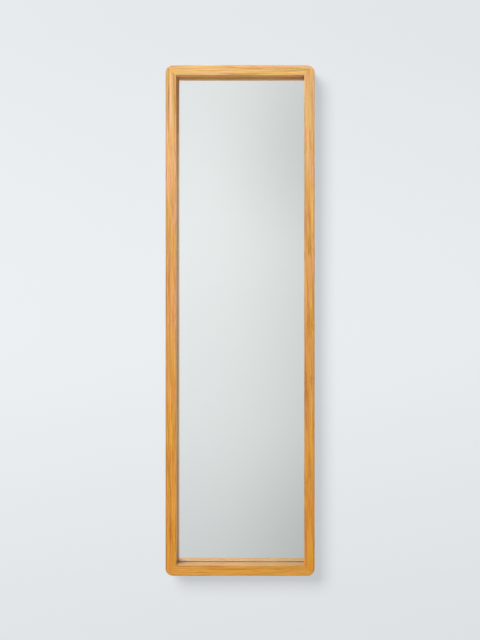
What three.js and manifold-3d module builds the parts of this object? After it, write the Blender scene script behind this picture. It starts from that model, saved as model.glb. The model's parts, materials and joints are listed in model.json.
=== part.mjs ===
// A full-length wall mirror: a mitred oak frame round one sheet of silvered glass, closed at the back
// by a board on turn buttons, and hung from two D-ring strap hangers. Units are millimetres.
// +X is to the viewer's right, +Z is up, and the front faces -Y. The wall is the plane y = 0, and the
// origin lies on it, midway between the two wall hooks.

import * as THREE from 'three';
import { mergeVertices } from 'three/addons/utils/BufferGeometryUtils.js';
import Module from 'manifold-3d';

const wasm = await Module();
wasm.setup();

// ---------------------------------------------------------------- driving dimensions

const frameWidth = 400;
const frameHeight = 1370;
const railFace = 28; // width of a rail, seen from the front
const cornerRadius = 20; // outer corners of the frame
const frontArris = 5; // round-over of the outer front edge
const backArris = 2; // round-over of the outer back edge
const sightArris = 1; // eased front edge of the opening
const sightDepth = 33; // front of the frame to the rebate
const rebateWidth = 8; // lip that the glass rests against

const glassThickness = 4;
const glassArris = 0.5;
const cushionThickness = 2;
const boardThickness = 3;
const glassClearance = 2; // round the edge of the glass, in the rebate
const boardClearance = 1; // round the edges of the cushion and the board

const partGap = 0.3; // between two pieces that touch
const glueGap = 0.3; // across a mitre

const keyLength = 24;
const keyWidth = 10;
const keyThickness = 6;

const settingBlockLength = 40;
const settingBlockInset = 70; // from the end of the glass to the middle of a block

const buttonWidth = 10;
const buttonThickness = 1.5;
const buttonReach = 13.5; // from the screw to the tip
const buttonSetback = 6; // screw's distance from the rebate
const buttonHoleRadius = 2;
const upperButtonDrop = 50; // below the lower end of a hanger strap
const lowerButtonRise = 150; // above the lower end of a stile

const ringWidth = 18; // between the middles of the D-ring's legs
const ringCornerRadius = 3.5;
const ringLeg = 7; // straight part of each leg
const ringWireRadius = 1.5;
const ringRunningClearance = 0.2; // between the ring and its loop in the strap
const ringButtGap = 0.4; // where the ends of the ring's wire meet, inside the loop
const ringSideClearance = 2.5; // from the outer edge of the frame to the ring
const strapWidth = 12;
const strapThickness = 1.2;
const strapLength = 46; // below the ring's bar
const strapHoleSpacing = 12;
const strapHoleRadius = 2.3;
const strapCurlEnd = 200; // degrees from level, where the curl round the ring's bar ends
const hangerDrop = 150; // top of the frame to the hook

const screwShankRadius = 1.6;
const screwHeadRadius = 3.4;
const screwHeadHeight = 2;
const screwTipLength = 4;
const screwHeadEdge = 1; // height of the head's upright edge
const screwHeadCrown = 1.5; // radius of the flat top of the head
const screwHeadShoulder = 2.7; // radius of the middle of the head's slope
const screwShoulderHeight = 1.7;
const screwRecessWidth = 1;
const screwRecessLength = 4;
const screwRecessDepth = 1.2;
const turnScrewLength = 14;
const hangerScrewLength = 18;
const pilotClearance = 0.3; // round a screw, in the wood
const pilotEndClearance = 0.6;

const bumperRadius = 7;
const bumperHeight = 7;
const bumperArris = 1;
const bumperInset = 55; // from the end of a stile to the bumper's middle

// ---------------------------------------------------------------- places that follow from them

const stackDepth = glassThickness + cushionThickness + boardThickness + 3 * partGap;
const frameDepth = sightDepth + stackDepth;
const frameBack = -(bumperHeight + partGap);
const frameFront = frameBack - frameDepth;
const rebateFloor = frameFront + sightDepth;

const ringArcRadius = ringWidth / 2;
const ringReach = ringCornerRadius + ringLeg + ringArcRadius;
const hookRise = ringReach - ringWireRadius; // from the ring's bar to a hook inside its far end

const top = hangerDrop;
const bottom = top - frameHeight;
const right = frameWidth / 2;
const left = -right;
const middle = (top + bottom) / 2;

const rebateInset = railFace - rebateWidth;
const sightWidth = frameWidth - 2 * railFace;
const sightHeight = frameHeight - 2 * railFace;
const rebateOpeningWidth = frameWidth - 2 * rebateInset;
const rebateOpeningHeight = frameHeight - 2 * rebateInset;

const stileCentre = right - rebateInset / 2; // middle of the flat back of a stile
const buttonInset = rebateInset - buttonSetback; // from the outer edge of the frame
const loopRadius = ringWireRadius + ringRunningClearance;
const barDepth = frameBack + partGap + strapThickness + loopRadius;
const barHeight = -hookRise;

const roundSegments = 16; // sides of a screw or a hole
const cornerSegments = 12; // facets on each rounded corner of the frame
const frontArrisSegments = 6;
const backArrisSegments = 3;
const curlSegments = 12;
const ringSides = 8;
const ringSteps = 48;
const bumperSegments = 24;
const clearOfFrame = 5; // how far a cutting shape runs past what it cuts

// ---------------------------------------------------------------- solids

function toManifold(geometry) {
  const plain = geometry.clone();
  plain.deleteAttribute('normal');
  plain.deleteAttribute('uv');
  const merged = mergeVertices(plain, 1e-4);
  const index = merged.index.array;
  const faces = [];
  for (let i = 0; i < index.length; i += 3) {
    const [a, b, c] = [index[i], index[i + 1], index[i + 2]];
    if (a !== b && b !== c && c !== a) {
      faces.push(a, b, c);
    }
  }
  const mesh = new wasm.Mesh({
    numProp: 3,
    vertProperties: new Float32Array(merged.attributes.position.array),
    triVerts: new Uint32Array(faces),
  });
  return new wasm.Manifold(mesh);
}

function toGeometry(solid) {
  const mesh = solid.getMesh();
  const geometry = new THREE.BufferGeometry();
  geometry.setAttribute('position', new THREE.BufferAttribute(mesh.vertProperties, 3));
  geometry.setIndex(new THREE.BufferAttribute(mesh.triVerts, 1));
  geometry.computeVertexNormals();
  return geometry;
}

function rectangle(width, height) {
  const shape = new THREE.Shape();
  shape.moveTo(-width / 2, -height / 2);
  shape.lineTo(width / 2, -height / 2);
  shape.lineTo(width / 2, height / 2);
  shape.lineTo(-width / 2, height / 2);
  shape.closePath();
  return shape;
}

function roundedRectangle(width, height, radius) {
  const x = width / 2 - radius;
  const z = height / 2 - radius;
  const shape = new THREE.Shape();
  shape.absarc(x, -z, radius, -Math.PI / 2, 0);
  shape.absarc(x, z, radius, 0, Math.PI / 2);
  shape.absarc(-x, z, radius, Math.PI / 2, Math.PI);
  shape.absarc(-x, -z, radius, Math.PI, 1.5 * Math.PI);
  shape.closePath();
  return shape;
}

function circle(radius) {
  const shape = new THREE.Shape();
  shape.absarc(0, 0, radius, 0, 2 * Math.PI);
  return shape;
}

// A flat piece drawn in X and Z: its back is at y = back, and it is as thick as depth.
function slab(shape, back, depth, arris = 0, arrisSegments = 1, curveSegments = roundSegments / 2) {
  const geometry = new THREE.ExtrudeGeometry(shape, {
    depth: depth - 2 * arris,
    curveSegments,
    bevelEnabled: arris > 0,
    bevelThickness: arris,
    bevelSize: arris,
    bevelOffset: -arris,
    bevelSegments: arrisSegments,
  });
  geometry.translate(0, 0, arris);
  geometry.rotateX(Math.PI / 2);
  geometry.translate(0, back, 0);
  return geometry;
}

function material(color, roughness, metalness = 0) {
  return new THREE.MeshStandardMaterial({ color, roughness, metalness });
}

const oak = material(0xd79b5c, 0.55);
const beech = material(0xdcb88a, 0.6);
const silver = material(0xd6dcd9, 0.03, 1);
const greyBoard = material(0xb4aa98, 0.9);
const fibreboard = material(0x9a7650, 0.85);
const blackRubber = material(0x26262a, 0.9);
const zinc = material(0xbfc1c4, 0.35, 1);
const brassPlate = material(0xc9a75a, 0.35, 1);
const clearRubber = material(0xd9d9d4, 0.5);

const mirror = new THREE.Group();

function place(name, geometry, finish, x = 0, y = 0, z = 0) {
  const mesh = new THREE.Mesh(geometry, finish);
  mesh.name = name;
  mesh.position.set(x, y, z);
  mirror.add(mesh);
  return mesh;
}

// ---------------------------------------------------------------- frame

// The whole frame before it is cut into rails: rounded outside, with the sight opening and the rebate.
function frameRing() {
  const outline = roundedRectangle(frameWidth, frameHeight, cornerRadius);
  const overlap = 2 * clearOfFrame;
  const depth = frameDepth + overlap;
  const eased = slab(outline, frameBack + overlap, depth, frontArris, frontArrisSegments, cornerSegments);
  const backed = slab(outline, frameBack, depth, backArris, backArrisSegments, cornerSegments);
  const sight = slab(rectangle(sightWidth, sightHeight), frameBack + overlap, frameDepth + 2 * overlap);
  const easing = slab(
    rectangle(sightWidth + 2 * sightArris, sightHeight + 2 * sightArris),
    frameFront + sightArris,
    2 * clearOfFrame,
    sightArris,
  );
  const rebate = slab(
    rectangle(rebateOpeningWidth, rebateOpeningHeight),
    frameBack + overlap,
    frameBack + overlap - rebateFloor,
  );
  return toManifold(eased)
    .intersect(toManifold(backed))
    .subtract(toManifold(sight))
    .subtract(toManifold(easing))
    .subtract(toManifold(rebate));
}

// The wedge that holds one rail: side 0 is the left stile, and each next side is a quarter turn on.
// Its slanting edges stand half the glue gap back from the mitres.
function mitreWedge(side) {
  const upright = side % 2 === 0;
  const halfRun = (upright ? frameHeight : frameWidth) / 2;
  const halfSpan = (upright ? frameWidth : frameHeight) / 2;
  const setback = (glueGap / 2) * Math.SQRT2;
  const outer = halfRun + clearOfFrame - setback;
  const inner = halfRun - railFace - clearOfFrame - setback;
  const shape = new THREE.Shape();
  shape.moveTo(-halfSpan - clearOfFrame, outer);
  shape.lineTo(-halfSpan - clearOfFrame, -outer);
  shape.lineTo(-halfSpan + railFace + clearOfFrame, -inner);
  shape.lineTo(-halfSpan + railFace + clearOfFrame, inner);
  shape.closePath();
  const geometry = slab(shape, frameBack + clearOfFrame, frameDepth + 2 * clearOfFrame);
  geometry.rotateY((side * Math.PI) / 2);
  return toManifold(geometry);
}

// Middle of a mitre in the plane of the frame, from its rounded outer end to its inner one.
const mitreOuterEnd = cornerRadius * (1 - Math.SQRT1_2);
const mitreMiddle = (mitreOuterEnd + railFace) / 2;
const keyDepth = frameFront + sightDepth / 2;

function keyBlock(signX, signZ, clearance) {
  const geometry = new THREE.BoxGeometry(
    keyLength + 2 * clearance,
    keyThickness + 2 * clearance,
    keyWidth + 2 * clearance,
  );
  geometry.rotateY((signX * signZ * Math.PI) / 4);
  geometry.translate(
    signX * (right - mitreMiddle),
    keyDepth,
    signZ * (frameHeight / 2 - mitreMiddle),
  );
  return geometry;
}

const corners = [
  { name: 'top_left', signX: -1, signZ: 1 },
  { name: 'top_right', signX: 1, signZ: 1 },
  { name: 'bottom_left', signX: -1, signZ: -1 },
  { name: 'bottom_right', signX: 1, signZ: -1 },
];

// ---------------------------------------------------------------- screws

// A pan-head wood screw along Y. Its head's underside is at y = 0, and its shank runs towards -Y.
function screwGeometry(length) {
  const profile = [
    new THREE.Vector2(0, -length),
    new THREE.Vector2(screwShankRadius, -length + screwTipLength),
    new THREE.Vector2(screwShankRadius, 0),
    new THREE.Vector2(screwHeadRadius, 0),
    new THREE.Vector2(screwHeadRadius, screwHeadEdge),
    new THREE.Vector2(screwHeadShoulder, screwShoulderHeight),
    new THREE.Vector2(screwHeadCrown, screwHeadHeight),
    new THREE.Vector2(0, screwHeadHeight),
  ];
  const body = toManifold(new THREE.LatheGeometry(profile, roundSegments));
  const slotDepth = 2 * screwRecessDepth;
  const across = new THREE.BoxGeometry(screwRecessLength, slotDepth, screwRecessWidth);
  const along = new THREE.BoxGeometry(screwRecessWidth, slotDepth, screwRecessLength);
  across.translate(0, screwHeadHeight, 0);
  along.translate(0, screwHeadHeight, 0);
  return toGeometry(body.subtract(toManifold(across)).subtract(toManifold(along)));
}

// The hole that a screw needs in the wood, with its head's underside at the given place.
function pilotHole(x, headDepth, z, length) {
  const depth = headDepth - frameBack;
  const bore = slab(
    circle(screwShankRadius + pilotClearance),
    frameBack + clearOfFrame,
    length - depth + pilotEndClearance + clearOfFrame,
  );
  bore.translate(x, 0, z);
  return bore;
}

// ---------------------------------------------------------------- where the fittings sit

const buttonHeadDepth = frameBack + partGap + buttonThickness + partGap;
const strapHeadDepth = frameBack + partGap + strapThickness + partGap;

// The tip of each button points over the board: turn is its quarter turn from pointing along +X.
const buttons = [
  { name: 'top', x: 0, z: top - buttonInset, turn: 1 },
  { name: 'bottom', x: 0, z: bottom + buttonInset, turn: -1 },
];
const upperButton = barHeight - strapLength - upperButtonDrop;
const lowerButton = bottom + lowerButtonRise;
const stileButtons = [
  { row: 'upper', z: upperButton },
  { row: 'middle', z: (upperButton + lowerButton) / 2 },
  { row: 'lower', z: lowerButton },
];
for (const { row, z } of stileButtons) {
  buttons.push({ name: `${row}_left`, x: left + buttonInset, z, turn: 0 });
  buttons.push({ name: `${row}_right`, x: right - buttonInset, z, turn: 2 });
}

const hangerCentre = right - ringSideClearance - ringWireRadius - ringWidth / 2;
const hangers = [
  { name: 'left', x: -hangerCentre },
  { name: 'right', x: hangerCentre },
];
const strapHoleDrop = strapLength - strapWidth / 2;
const strapHoles = [
  { name: 'upper', z: barHeight - strapHoleDrop + strapHoleSpacing },
  { name: 'lower', z: barHeight - strapHoleDrop },
];

// ---------------------------------------------------------------- rails

const pilots = [];
for (const button of buttons) {
  pilots.push(pilotHole(button.x, buttonHeadDepth, button.z, turnScrewLength));
}
for (const hanger of hangers) {
  for (const hole of strapHoles) {
    pilots.push(pilotHole(hanger.x, strapHeadDepth, hole.z, hangerScrewLength));
  }
}

const rails = ['left_stile', 'top_rail', 'right_stile', 'bottom_rail'];
let ring = frameRing();
for (const corner of corners) {
  ring = ring.subtract(toManifold(keyBlock(corner.signX, corner.signZ, partGap)));
}
ring = ring.translate([0, 0, middle]);
for (const pilot of pilots) {
  ring = ring.subtract(toManifold(pilot));
}
rails.forEach((name, side) => {
  const wedge = mitreWedge(side).translate([0, 0, middle]);
  place(name, toGeometry(ring.intersect(wedge)), oak);
});

for (const corner of corners) {
  place(`key_${corner.name}`, keyBlock(corner.signX, corner.signZ, 0), beech, 0, 0, middle);
}

// ---------------------------------------------------------------- glass, cushion and board

const glassWidth = rebateOpeningWidth - 2 * glassClearance;
const glassHeight = rebateOpeningHeight - 2 * glassClearance;
const boardWidth = rebateOpeningWidth - 2 * boardClearance;
const boardHeight = rebateOpeningHeight - 2 * boardClearance;
const glassBack = rebateFloor + partGap + glassThickness;
const cushionBack = glassBack + partGap + cushionThickness;
const boardBack = cushionBack + partGap + boardThickness;

const glass = slab(rectangle(glassWidth, glassHeight), glassBack, glassThickness, glassArris);
place('mirror_glass', glass, silver, 0, 0, middle);
const cushion = slab(rectangle(boardWidth, boardHeight), cushionBack, cushionThickness);
place('cushion_sheet', cushion, greyBoard, 0, 0, middle);
const board = slab(rectangle(boardWidth, boardHeight), boardBack, boardThickness);
place('back_board', board, fibreboard, 0, 0, middle);

const settingBlockHeight = glassClearance - 2 * partGap;
const settingBlockZ = bottom + rebateInset + partGap + settingBlockHeight / 2;
for (const [side, sign] of [['left', -1], ['right', 1]]) {
  const block = new THREE.BoxGeometry(settingBlockLength, glassThickness, settingBlockHeight);
  const x = sign * (glassWidth / 2 - settingBlockInset);
  place(`setting_block_${side}`, block, blackRubber, x, glassBack - glassThickness / 2, settingBlockZ);
}

// ---------------------------------------------------------------- turn buttons

function buttonGeometry() {
  const heel = buttonWidth / 2;
  const shape = new THREE.Shape();
  shape.absarc(0, 0, heel, Math.PI / 2, 1.5 * Math.PI);
  shape.absarc(buttonReach - heel, 0, heel, -Math.PI / 2, Math.PI / 2);
  shape.closePath();
  shape.holes.push(circle(buttonHoleRadius));
  return slab(shape, frameBack + partGap + buttonThickness, buttonThickness);
}

for (const button of buttons) {
  const geometry = buttonGeometry();
  const mesh = place(`turn_button_${button.name}`, geometry, zinc, button.x, 0, button.z);
  mesh.rotation.y = (button.turn * Math.PI) / 2;
  const screw = screwGeometry(turnScrewLength);
  place(`turn_screw_${button.name}`, screw, zinc, button.x, buttonHeadDepth, button.z);
}

// ---------------------------------------------------------------- hangers

// The strap lies on the stile and curls round the ring's bar at its upper end. Its side view is drawn
// with x upwards and y away from the frame, and the bar is at x = 0.
function strapGeometry() {
  const outerLoop = loopRadius + strapThickness;
  const barCentre = outerLoop;
  const loopEnd = THREE.MathUtils.degToRad(strapCurlEnd);
  const side = new THREE.Shape();
  side.moveTo(-strapLength, 0);
  side.absarc(0, barCentre, outerLoop, -Math.PI / 2, loopEnd);
  side.absarc(0, barCentre, loopRadius, loopEnd, -Math.PI / 2, true);
  side.lineTo(-strapLength, strapThickness);
  side.closePath();
  const curled = new THREE.ExtrudeGeometry(side, {
    depth: strapWidth,
    curveSegments: curlSegments,
    bevelEnabled: false,
  });
  curled.translate(0, 0, -strapWidth / 2);
  // x goes to +Z, y to +Y and the strap's width to -X.
  const turn = new THREE.Matrix4().makeBasis(
    new THREE.Vector3(0, 0, 1),
    new THREE.Vector3(0, 1, 0),
    new THREE.Vector3(-1, 0, 0),
  );
  curled.applyMatrix4(turn);

  const half = strapWidth / 2;
  const plan = new THREE.Shape();
  plan.absarc(0, half - strapLength, half, Math.PI, 2 * Math.PI);
  plan.lineTo(half, 2 * outerLoop);
  plan.lineTo(-half, 2 * outerLoop);
  plan.closePath();
  const outline = slab(plan, 2 * outerLoop + clearOfFrame, 2 * outerLoop + 2 * clearOfFrame);
  let strap = toManifold(curled).intersect(toManifold(outline));
  for (const hole of strapHoles) {
    const bore = slab(circle(strapHoleRadius), strapThickness + clearOfFrame, 3 * clearOfFrame);
    bore.translate(0, 0, hole.z - barHeight);
    strap = strap.subtract(toManifold(bore));
  }
  return toGeometry(strap);
}

// The centre line of the D-ring, hanging below its bar from one end of the wire to the other.
function ringPath() {
  const half = ringWidth / 2;
  const bend = ringCornerRadius;
  const outline = new THREE.Path();
  outline.moveTo(ringButtGap / 2, 0);
  outline.lineTo(half - bend, 0);
  outline.absarc(half - bend, -bend, bend, Math.PI / 2, 0, true);
  outline.absarc(0, -bend - ringLeg, ringArcRadius, 0, -Math.PI, true);
  outline.absarc(-half + bend, -bend, bend, Math.PI, Math.PI / 2, true);
  outline.lineTo(-ringButtGap / 2, 0);
  return outline;
}

class FlatPath extends THREE.Curve {
  constructor(outline) {
    super();
    this.outline = outline;
  }

  getPoint(t, target = new THREE.Vector3()) {
    const point = this.outline.getPointAt(t);
    return target.set(point.x, 0, point.y);
  }
}

function ringGeometry() {
  return new THREE.ExtrudeGeometry(circle(ringWireRadius), {
    extrudePath: new FlatPath(ringPath()),
    steps: ringSteps,
    curveSegments: ringSides / 2,
  });
}

for (const hanger of hangers) {
  const strapBack = frameBack + partGap;
  place(`hanger_strap_${hanger.name}`, strapGeometry(), brassPlate, hanger.x, strapBack, barHeight);
  place(`hanger_ring_${hanger.name}`, ringGeometry(), brassPlate, hanger.x, barDepth, barHeight);
  for (const hole of strapHoles) {
    const screw = screwGeometry(hangerScrewLength);
    const name = `hanger_screw_${hole.name}_${hanger.name}`;
    place(name, screw, zinc, hanger.x, strapHeadDepth, hole.z);
  }
}

// ---------------------------------------------------------------- wall bumpers

function bumperGeometry() {
  const profile = [
    new THREE.Vector2(0, -bumperHeight),
    new THREE.Vector2(bumperRadius, -bumperHeight),
    new THREE.Vector2(bumperRadius, -bumperArris),
    new THREE.Vector2(bumperRadius - bumperArris, 0),
    new THREE.Vector2(0, 0),
  ];
  return toGeometry(toManifold(new THREE.LatheGeometry(profile, bumperSegments)));
}

for (const corner of corners) {
  const x = corner.signX * stileCentre;
  const z = middle + corner.signZ * (frameHeight / 2 - bumperInset);
  place(`wall_bumper_${corner.name}`, bumperGeometry(), clearRubber, x, 0, z);
}

export default mirror;
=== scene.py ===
"""The looks of a full-length wall mirror: a deep mitred oak frame round a sheet of silvered glass.

+X is to the viewer's right, +Z is up, the mirror faces -Y, and the wall is the plane y = 0.
"""

import json
import math

import bmesh
import bpy
from mathutils import Matrix, Vector


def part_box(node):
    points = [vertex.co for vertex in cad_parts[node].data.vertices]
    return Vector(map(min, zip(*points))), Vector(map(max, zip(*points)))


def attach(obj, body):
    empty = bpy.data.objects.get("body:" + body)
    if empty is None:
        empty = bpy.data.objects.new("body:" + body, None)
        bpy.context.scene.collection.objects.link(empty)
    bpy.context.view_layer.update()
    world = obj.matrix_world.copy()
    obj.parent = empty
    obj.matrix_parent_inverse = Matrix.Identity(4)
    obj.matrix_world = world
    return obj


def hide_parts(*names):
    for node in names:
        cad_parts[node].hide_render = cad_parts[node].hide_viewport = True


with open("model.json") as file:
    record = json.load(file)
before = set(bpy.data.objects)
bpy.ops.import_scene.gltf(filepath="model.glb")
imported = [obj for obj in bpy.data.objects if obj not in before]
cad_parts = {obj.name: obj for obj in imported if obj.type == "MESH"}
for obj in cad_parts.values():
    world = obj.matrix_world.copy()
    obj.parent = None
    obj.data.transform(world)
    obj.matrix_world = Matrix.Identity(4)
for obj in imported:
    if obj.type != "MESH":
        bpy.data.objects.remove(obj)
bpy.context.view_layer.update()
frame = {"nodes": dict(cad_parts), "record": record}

MM = 0.001

# ---------------- sizes shared with the CAD model

CORNER_RADIUS = 20 * MM
FRONT_ARRIS = 5 * MM
BACK_ARRIS = 2 * MM
SIGHT_ARRIS = 1 * MM
REBATE_WIDTH = 8 * MM
GLUE_LINE = 0.04 * MM
GLASS_GAP = 0.1 * MM
SCREW_SHANK_RADIUS = 1.6 * MM
SCREW_HEAD_HEIGHT = 2 * MM
STRAP_THICKNESS = 1.2 * MM
STRAP_HOLE_RADIUS = 2.3 * MM
STRAP_CURL_END = math.radians(200)
RING_WIRE_RADIUS = 1.5 * MM
RING_CORNER_RADIUS = 3.5 * MM
RING_CLEARANCE = 0.2 * MM
RING_BUTT_GAP = 0.4 * MM
BUTTON_HOLE_RADIUS = 2 * MM

# ---------------- the frame's outline, from the CAD

left_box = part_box("left_stile")
right_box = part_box("right_stile")
top_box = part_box("top_rail")
bottom_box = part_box("bottom_rail")
glass_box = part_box("mirror_glass")

FRAME_LEFT = left_box[0][0]
FRAME_RIGHT = right_box[1][0]
FRAME_TOP = top_box[1][2]
FRAME_BOTTOM = bottom_box[0][2]
FRAME_FRONT = left_box[0][1]
FRAME_BACK = left_box[1][1]
FRAME_WIDTH = FRAME_RIGHT - FRAME_LEFT
FRAME_HEIGHT = FRAME_TOP - FRAME_BOTTOM
FRAME_DEPTH = FRAME_BACK - FRAME_FRONT
RAIL_FACE = left_box[1][0] - left_box[0][0]
REBATE_DEPTH = glass_box[0][1] - GLASS_GAP - FRAME_FRONT
MIDDLE = Vector(((FRAME_LEFT + FRAME_RIGHT) / 2, FRAME_FRONT, (FRAME_TOP + FRAME_BOTTOM) / 2))


def corners_of(node):
    """The low and high corners of a CAD node's box."""
    low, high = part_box(node)
    return Vector(low), Vector(high)


# ---------------- node helpers


def srgb(red, green, blue):
    """A colour given as sRGB bytes, in the linear values that the nodes take."""

    def linear(byte):
        share = byte / 255
        return share / 12.92 if share <= 0.04045 else ((share + 0.055) / 1.055) ** 2.4

    return (linear(red), linear(green), linear(blue), 1.0)


class Graph:
    """A node tree that is filled one node at a time."""

    def __init__(self, tree):
        self.tree = tree
        tree.nodes.clear()

    def add(self, kind, inputs=None, **settings):
        node = self.tree.nodes.new(kind)
        for name, value in settings.items():
            setattr(node, name, value)
        for key, value in (inputs or {}).items():
            if isinstance(value, bpy.types.NodeSocket):
                self.tree.links.new(value, node.inputs[key])
            else:
                node.inputs[key].default_value = value
        return node

    def math(self, operation, *values):
        inputs = dict(enumerate(values))
        return self.add("ShaderNodeMath", inputs, operation=operation).outputs[0]

    def vector(self, operation, *values):
        node = self.add("ShaderNodeVectorMath", dict(enumerate(values)), operation=operation)
        return node.outputs["Value" if operation in {"LENGTH", "DOT_PRODUCT"} else "Vector"]

    def noise(self, place, scale, detail, roughness):
        inputs = {"Vector": place, "Scale": scale, "Detail": detail, "Roughness": roughness}
        return self.add("ShaderNodeTexNoise", inputs).outputs["Fac"]

    def streaks(self, place, stretch, scale, detail=2.0, roughness=0.6):
        """Noise drawn out along Z, the more the smaller stretch is."""
        drawn = self.vector("MULTIPLY", place, (1.0, 1.0, stretch))
        return self.noise(drawn, scale, detail, roughness)

    def times(self, colour, factor, share=1.0):
        return self.mix(share, colour, factor, "MULTIPLY")

    def ramp(self, value, stops, interpolation="LINEAR"):
        node = self.add("ShaderNodeValToRGB", {"Fac": value})
        node.color_ramp.interpolation = interpolation
        elements = node.color_ramp.elements
        while len(elements) < len(stops):
            elements.new(1.0)
        for element, (position, colour) in zip(elements, stops):
            element.position = position
            element.color = colour if len(colour) == 4 else (*colour, 1.0)
        return node.outputs["Color"]

    def spread(self, value, from_low, from_high, to_low=0.0, to_high=1.0, smooth=False):
        inputs = {0: value, 1: from_low, 2: from_high, 3: to_low, 4: to_high}
        settings = {"interpolation_type": "SMOOTHSTEP" if smooth else "LINEAR", "clamp": True}
        return self.add("ShaderNodeMapRange", inputs, **settings).outputs[0]

    def mix(self, share, first, second, blend="MIX"):
        node = self.add("ShaderNodeMix", data_type="RGBA", blend_type=blend)
        sockets = (node.inputs[0], node.inputs[6], node.inputs[7])
        for socket, value in zip(sockets, (share, first, second)):
            if isinstance(value, bpy.types.NodeSocket):
                self.tree.links.new(value, socket)
            else:
                socket.default_value = value
        return node.outputs[2]

    def bump(self, height, strength, distance):
        inputs = {"Height": height, "Strength": strength, "Distance": distance}
        return self.add("ShaderNodeBump", inputs).outputs["Normal"]


def new_material(name):
    """A material, its graph, and where the shaded point lies in the object's own frame."""
    material = bpy.data.materials.new(name)
    material.use_nodes = True
    graph = Graph(material.node_tree)
    return material, graph, graph.add("ShaderNodeTexCoord").outputs["Object"]


def finish_material(graph, **inputs):
    sockets = {name.replace("_", " "): value for name, value in inputs.items()}
    shader = graph.add("ShaderNodeBsdfPrincipled", sockets)
    graph.add("ShaderNodeOutputMaterial", {"Surface": shader.outputs[0]})


def grey(value):
    return (value, value, value, 1.0)


# ---------------- wood


# The oak's tone from the foot of the frame to its top, and its cast from left to right. Towards the
# top the tone is paler and greyer: a painted sheen, the lacquer's reflection of light from above,
# mixed into the wood's own colour.
OAK_TONES_AND_SHEEN = [
    (0.0, srgb(177, 119, 46)),
    (0.25, srgb(181, 130, 58)),
    (0.5, srgb(184, 135, 76)),
    (0.72, srgb(192, 146, 91)),
    (0.85, srgb(197, 157, 109)),
    (1.0, srgb(196, 156, 105)),
]
LEFT_CAST = (1.02, 1.035, 1.12, 1.0)
RIGHT_CAST = (0.97, 0.985, 0.98, 1.0)
PORE_COLOUR = srgb(112, 62, 24)
# The darker part of the inner faces near the top is painted shade under the top rail.
INNER_FADE = 0.45  # how far down the inner faces their duller, darker part reaches
GRAIN_SLANT = math.radians(0.7)  # the grain runs out of the rails a little
RING_SPACING = 3.1 * MM  # of the growth rings
CURL_REACH = 45 * MM  # up and down the grain from the middle of a curl
CURL_SWAY = 14 * MM
CURL_DROPS = (0.49, 0.71, 0.85)  # of the right stile's curls, below the top of the frame


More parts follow.
